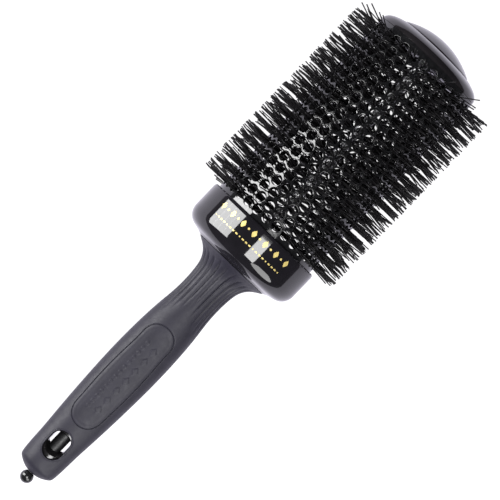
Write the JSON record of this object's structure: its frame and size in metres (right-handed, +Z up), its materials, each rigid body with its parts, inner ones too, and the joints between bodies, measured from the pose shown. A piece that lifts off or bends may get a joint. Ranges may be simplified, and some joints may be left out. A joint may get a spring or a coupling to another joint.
{
  "type": "round barrel hair brush",
  "caption": "Vented round barrel hair brush with nylon bristles, soft-touch handle and a ball-tipped sectioning pick that slides out of the handle end.",
  "frame": {"origin": "on the table under the middle of the brush lying on its bristles: centre of the bounding box in X and Y, bottom of it in Z", "axes": "+X along the brush axis from the handle end to the barrel cap, +Z up out of the handle's slotted face, +Y to the side; the brush axis is 39.2 mm above the origin"},
  "size_m": [0.268, 0.0784, 0.0784],
  "materials": {
    "soft_grip": "matte soft-touch skin, slightly purple dark grey",
    "core_plastic": "gloss black moulding",
    "gloss_black": "high gloss black moulding",
    "ceramic_coat": "gloss black ceramic coat on aluminium sheet",
    "wire_steel": "drawn steel wire",
    "bristle_nylon": "black nylon filament",
    "bush_nylon": "moulded nylon",
    "rod_steel": "polished steel rod",
    "o_ring_rubber": "moulded rubber"
  },
  "bodies": {
    "root": {"handle_grip": "soft_grip", "handle_core": "core_plastic", "collar_cup": "gloss_black", "barrel": "ceramic_coat", "barrel_base_hub": "core_plastic", "stem_wire_a": "wire_steel", "stem_wire_b": "wire_steel", "bristle_ring_01": "bristle_nylon", "bristle_ring_02": "bristle_nylon", "bristle_ring_03": "bristle_nylon", "bristle_ring_04": "bristle_nylon", "bristle_ring_05": "bristle_nylon", "bristle_ring_06": "bristle_nylon", "bristle_ring_07": "bristle_nylon", "bristle_ring_08": "bristle_nylon", "bristle_ring_09": "bristle_nylon", "bristle_ring_10": "bristle_nylon", "bristle_ring_11": "bristle_nylon", "bristle_ring_12": "bristle_nylon", "bristle_ring_13": "bristle_nylon", "bristle_ring_14": "bristle_nylon", "bristle_ring_15": "bristle_nylon", "bristle_ring_16": "bristle_nylon", "bristle_ring_17": "bristle_nylon", "bristle_ring_18": "bristle_nylon", "bristle_ring_19": "bristle_nylon", "bristle_ring_20": "bristle_nylon", "cap_ring": "gloss_black", "cap_dome": "gloss_black", "pick_guide_tube": "core_plastic", "guide_end_bush": "bush_nylon"},
    "pick_clip": {"pick_stop_bush": "bush_nylon", "pick_o_ring": "o_ring_rubber"},
    "pick": {"pick_rod": "rod_steel", "pick_ball": "gloss_black"}
  },
  "joints": [
    {"name": "pick_slide", "type": "slide", "parent": "root", "child": "pick_clip", "axis": [-1, 0, 0], "range_m": [0, 0.07]},
    {"name": "pick_spin", "type": "hinge", "parent": "pick_clip", "child": "pick", "pos_m": [-0.045, 0, 0.0392], "axis": [1, 0, 0], "continuous": true}
  ]
}
